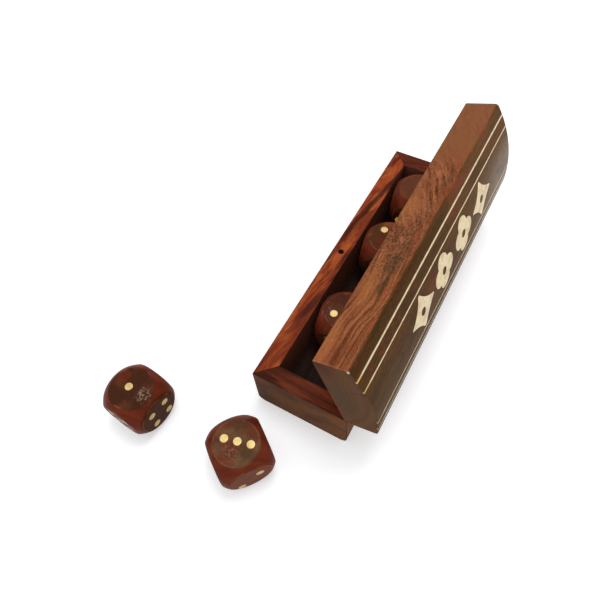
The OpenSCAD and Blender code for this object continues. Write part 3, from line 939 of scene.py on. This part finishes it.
def die_wood(name, look, seed, glint_middle, glint_strength, light_face, dark_face):
    """Polished red-brown wood, browner on the flat faces, in the die's own coordinates.

    The browning of a flat face is uneven, and round glint_middle pale and dark specks are
    painted as a mottled highlight, as strongly as glint_strength says."""
    recipe = Recipe("die_wood_" + name)
    own = recipe.node("Attribute", output=1, attribute_name="own")
    x, y, z = own.axes()
    ring, fibre, pore = rosewood(recipe, (x, y, z), 0.3, 5.0, seed)
    shifted = own + (seed, 0.0, 0.0)
    cloud = recipe.noise(shifted, 0.13, 2.0, 0.5)
    mottle = recipe.noise(shifted, 0.45, 3.0, 0.6)
    speck = recipe.noise(shifted, 1.5, 3.0, 0.7)
    blotch = recipe.noise(shifted + (0.0, 5.0, 0.0), 0.16, 2.0, 0.5)
    reach = abs(x).most(abs(y)).most(abs(z))
    flat = (reach + (mottle - 0.5) * 0.6).fade(DIE_HALF_EDGE - 0.85, DIE_HALF_EDGE)
    edge = recipe.coats(
        look.edge_colour,
        ("die ring", (1 - ring) * 0.6),
        ("die glow", cloud.fade(0.52, 0.7) * 0.5),
    )
    face = recipe.coats(
        light_face,
        (dark_face, cloud.fade(0.6, 0.42)),
        ("die mottle", mottle.fade(0.5, 0.74) * 0.3),
    )
    colour = recipe.mix(edge, face, flat * (blotch.fade(0.62, 0.46) * 0.6 + 0.35))
    # Painted shade: these faces are tinted darker and without blue against the pale reflection
    # they catch.
    for (die, number), tint in FACE_SHADE_TINTS.items():
        if die == name:
            outward = tuple(turn_matrix(DIE_FACES[number]) @ (0, 0, 1))
            toward = recipe.node(
                "VectorMath", {0: own, 1: outward}, output=1, operation="DOT_PRODUCT"
            )
            face_shade = (toward + mottle - 0.5).fade(DIE_HALF_EDGE - 1.25, DIE_HALF_EDGE - 0.05)
            colour = recipe.mix(colour, tint, face_shade * 0.8)
    # Painted highlight: a thin pale line along the border of each flat face.
    border = abs(reach - (DIE_HALF_EDGE - 0.2)).fade(0.1, 0.02) * blotch.fade(0.52, 0.57)
    # Painted highlight: pale and dark specks round glint_middle stand for a mottled reflection;
    # the roughness there is raised a little too.
    away = recipe.node("VectorMath", {0: own, 1: glint_middle}, output=1, operation="DISTANCE")
    glint_patch = (away + (mottle - 0.5) * 6).fade(3.6, 1.4) * glint_strength
    colour = recipe.coats(
        colour,
        ("die rim highlight", border * 0.3),
        ("painted glint", glint_patch * speck.fade(0.47, 0.66) * 0.55),
        ("painted glint dark", glint_patch * speck.fade(0.42, 0.3) * 0.35),
    )
    colour = recipe.darken(colour, (0.5, 0.42, 0.4), (1 - fibre) * 0.3)
    colour = recipe.darken(colour, (0.4, 0.3, 0.3), pore * 0.3)
    rough = 0.3 + cloud * 0.1 + pore * 0.2 + glint_patch * 0.1
    height = mottle * 0.05 + speck * 0.012 + fibre * 0.006 - pore * 0.015
    return recipe.finish(
        colour, rough, height, edge=0, shine=0.03, Coat_Weight=0.05 * (1 - flat * 0.8),
        Coat_Roughness=0.25,
    )


class DICEBOX_OT_turn_dice(bpy.types.Operator):
    """Shape the five dice: cubes cut by a ball, with softened edges"""

    bl_idname = "dicebox.turn_dice"
    bl_label = "Turn Dice"

    def execute(self, context):
        look = context.scene.dicebox_dice
        for index, name in enumerate(DICE):
            centre, half, turn = die_frame(name)
            points, quads = die_skin(half, look, 1.7 * index)
            placed = points @ turn.T + centre
            die = add_mesh("wood_die_" + name, placed, quads, points / MM)
            wood = die_wood(name, look, 3.1 * index + 1.3, *DIE_GLINT_AND_BROWNS[name])
            die.data.materials.append(wood)
            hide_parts("die_" + name)
            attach(die, f"die_{name}_body")
        return {"FINISHED"}


def pip_places(number, p):
    """Where the pips of a face lie, for its number; p is the spread."""
    falling = [(p, -p), (-p, p)]
    rising = [(p, p), (-p, -p)]
    middle = [(0, 0)] if number % 2 else []
    outer = {1: [], 2: falling, 3: falling}.get(number, falling + rising)
    return middle + outer + ([(p, 0), (-p, 0)] if number == 6 else [])


def disc(radius, rings, segments):
    """A slightly domed disc: rings of points whose height falls with the square of their
    radius and drops below the wood at the rim. Returns its points and quads."""
    share = np.concatenate([np.linspace(0.04, 0.9, rings), [0.97, 1.0, 1.0]])
    height = -0.000008 * share**2 - np.concatenate(
        [np.zeros(rings), [0.00001, 0.00006, 0.0002]]
    )
    angle = np.linspace(0, 2 * math.pi, segments, endpoint=False)
    across = [np.outer(share, part) * radius for part in (np.cos(angle), np.sin(angle))]
    points = np.stack([*across, np.repeat(height[:, None], segments, 1)], -1).reshape(-1, 3)
    row, column = np.meshgrid(np.arange(len(share) - 1), np.arange(segments), indexing="ij")
    here = row * segments + column
    there = row * segments + (column + 1) % segments
    quads = np.stack([here, here + segments, there + segments, there], -1).reshape(-1, 4)
    # The hub is closed by quads between opposite points of the first ring
    hub = np.arange(segments // 2 - 1)
    cap = np.stack([hub, hub + 1, segments - 2 - hub, segments - 1 - hub], 1)
    return points, np.concatenate([quads, cap])


class DICEBOX_OT_set_pips(bpy.types.Operator):
    """Set 21 metal pips in each die, opposite faces adding up to seven"""

    bl_idname = "dicebox.set_pips"
    bl_label = "Set Pips"

    def execute(self, context):
        look = context.scene.dicebox_dice
        metals = context.scene.dicebox_metal
        metal = brushed_metal("pip_metal", metals.pip_colour, "pip tarnish", 0.42, 0.5, 2.0)
        patch, quads = disc(look.pip_diameter / 2, 6, 28)
        for name in DICE:
            centre, half, turn = die_frame(name)
            places = []
            for number, tip in DIE_FACES.items():
                side, up, tilt = PIP_DRIFT.get((name, number), (0, 0, 0))
                for spot in pip_places(number, look.pip_spread):
                    spot = Matrix.Rotation(math.radians(tilt), 3, "Z") @ Vector((*spot, half))
                    spot = np.array(spot) + np.array((side, up, 0)) * MM
                    places.append((turn_matrix(tip), spot))
            points = np.concatenate([(patch + spot) @ tip.T for tip, spot in places])
            faces = np.concatenate([quads + k * len(patch) for k in range(len(places))])
            pips = add_mesh("metal_pips_" + name, points @ turn.T + centre, faces)
            pips.data.materials.append(metal)
            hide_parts("pips_" + name)
            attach(pips, f"die_{name}_body")
        return {"FINISHED"}


# Stage


class StageLayout(bpy.types.PropertyGroup):
    """Camera, lamps and floor."""

    camera_place: FloatVectorProperty(
        name="Camera", description="Where the camera stands", subtype="TRANSLATION",
        unit="LENGTH", size=3, default=(-0.12204, -0.04491, 0.20318),
    )
    camera_turn: FloatVectorProperty(
        name="Camera turn", description="The camera's Euler angles", subtype="EULER",
        size=3, default=tuple(math.radians(a) for a in (32.0485, 3.0875, -60.7206)),
    )
    camera_lens: FloatProperty(
        name="Lens", description="Focal length in millimetres", default=33.13, min=10,
        max=200,
    )
    key_power: FloatProperty(
        name="Key lamp", description="Power of the soft key lamp", unit="POWER",
        default=2.4, min=0, max=200,
    )
    glint_power: FloatProperty(
        name="Glint lamp", description="Power of the small lamp that the dice reflect",
        unit="POWER", default=1.4, min=0, max=50,
    )
    sky_level: FloatProperty(
        name="Sky", description="Strength of the even light from all round", default=0.64,
        min=0, max=3,
    )
    floor_colour: FloatVectorProperty(
        name="Floor", description="Colour of the floor", subtype="COLOR", size=3, min=0,
        max=1, default=(0.92, 0.94, 0.96),
    )
    floor_lift: FloatProperty(
        name="Floor lift", description="White that the camera and reflections see added",
        default=0.39, min=0, max=1,
    )


def seen(recipe, in_gloss=1.0):
    """1 for rays from the camera, in_gloss for those from gloss and through glass, and 0
    for the rest."""
    path = recipe.node("LightPath")
    camera, gloss, glass = (
        path.beside(f"Is {kind} Ray") for kind in ("Camera", "Glossy", "Transmission")
    )
    return camera.most(gloss.most(glass) * in_gloss)


def pale_floor(scene, look):
    """The floor under the object, matt and lifted towards white where it is seen."""
    mesh = bpy.data.meshes.new("pale_floor")
    signs = ((-1, -1), (1, -1), (1, 1), (-1, 1))
    outline = [(x * FLOOR_HALF, y * FLOOR_HALF, -FLOOR_DROP) for x, y in signs]
    mesh.from_pydata(outline, [], [(0, 1, 2, 3)])
    floor = bpy.data.objects.new("pale_floor", mesh)
    scene.collection.objects.link(floor)
    recipe = Recipe("pale_floor")
    matt = recipe.node("BsdfDiffuse", {"Color": (*look.floor_colour, 1)})
    strength = seen(recipe, FLOOR_LIFT_IN_GLOSS) * look.floor_lift
    lift = recipe.node("Emission", {"Color": (1, 1, 1, 1), "Strength": strength})
    both = recipe.node("AddShader", {0: matt, 1: lift})
    recipe.node("OutputMaterial", {"Surface": both})
    mesh.materials.append(recipe.owner)
    return floor


def soft_lamp(scene, name, layout, power):
    """A square lamp turned towards the point that the lamps face; its layout is its
    direction from that point, its distance and its side."""
    direction, distance, side = layout
    light = bpy.data.lights.new(name, "AREA")
    light.size = side
    light.energy = power
    made = bpy.data.objects.new(name, light)
    scene.collection.objects.link(made)
    away = Vector(direction).normalized()
    made.location = LAMP_AIM + away * distance
    made.rotation_mode = "QUATERNION"
    made.rotation_quaternion = away.to_track_quat("Z", "Y")
    return made


def even_sky(level):
    """A world that is white where it is seen and lights the object at that level."""
    air = Recipe("even_sky", "worlds")
    shown = seen(air)
    strength = shown + (1 - shown) * level
    light = air.node("Background", {"Color": (1, 1, 1, 1), "Strength": strength})
    air.node("OutputWorld", {"Surface": light})
    return air.owner


def photo_camera(scene, look):
    """The camera, where the photograph was taken from."""
    lens = bpy.data.cameras.new("photo_camera")
    lens.lens = look.camera_lens
    lens.sensor_width = 36
    lens.clip_start = 0.01
    lens.clip_end = 10
    camera = bpy.data.objects.new("photo_camera", lens)
    scene.collection.objects.link(camera)
    camera.location = look.camera_place
    camera.rotation_euler = look.camera_turn
    return camera


class DICEBOX_OT_lay_stage(bpy.types.Operator):
    """Lay the pale floor, the soft lamps, the sky and the camera"""

    bl_idname = "dicebox.lay_stage"
    bl_label = "Lay Stage"

    def execute(self, context):
        scene = context.scene
        look = scene.dicebox_stage
        floor = pale_floor(scene, look)
        soft_lamp(scene, "key_lamp", KEY_LAMP, look.key_power)
        glint = soft_lamp(scene, "glint_lamp", GLINT_LAMP, look.glint_power)
        glint.visible_diffuse = False
        scene.world = even_sky(look.sky_level)
        scene.camera = photo_camera(scene, look)
        scene.view_settings.view_transform = "Standard"
        return {"FINISHED"}


# Add-on

OPERATORS = (
    DICEBOX_OT_lay_stage,
    DICEBOX_OT_polish_walls,
    DICEBOX_OT_stain_base,
    DICEBOX_OT_figure_lid,
    DICEBOX_OT_rub_inlays,
    DICEBOX_OT_polish_hinges,
    DICEBOX_OT_turn_dice,
    DICEBOX_OT_set_pips,
)
SETTINGS = {
    "dicebox_stage": StageLayout,
    "dicebox_walls": WallFinish,
    "dicebox_lid": LidFinish,
    "dicebox_metal": MetalFinish,
    "dicebox_dice": DiceFinish,
}


class DICEBOX_PT_sidebar(bpy.types.Panel):
    """The dice box's steps and settings"""

    bl_label = "Dice Box"
    bl_idname = "DICEBOX_PT_sidebar"
    bl_space_type = "VIEW_3D"
    bl_region_type = "UI"
    bl_category = "Dice Box"

    def draw(self, context):
        for operator in OPERATORS:
            self.layout.operator(operator.bl_idname)
        for name, group in SETTINGS.items():
            box = self.layout.box()
            box.label(text=group.__doc__)
            for setting in group.__annotations__:
                box.prop(getattr(context.scene, name), setting)


CLASSES = (*SETTINGS.values(), *OPERATORS, DICEBOX_PT_sidebar)


def register():
    for kind in CLASSES:
        bpy.utils.register_class(kind)
    for name, group in SETTINGS.items():
        setattr(bpy.types.Scene, name, PointerProperty(type=group))


def unregister():
    for name in SETTINGS:
        delattr(bpy.types.Scene, name)
    for kind in reversed(CLASSES):
        bpy.utils.unregister_class(kind)


def main():
    """Runs every step in order."""
    register()
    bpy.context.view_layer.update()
    for operator in OPERATORS:
        step = operator.bl_idname.split(".")[1]
        getattr(bpy.ops.dicebox, step)()
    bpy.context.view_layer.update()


if __name__ == "__main__":
    main()
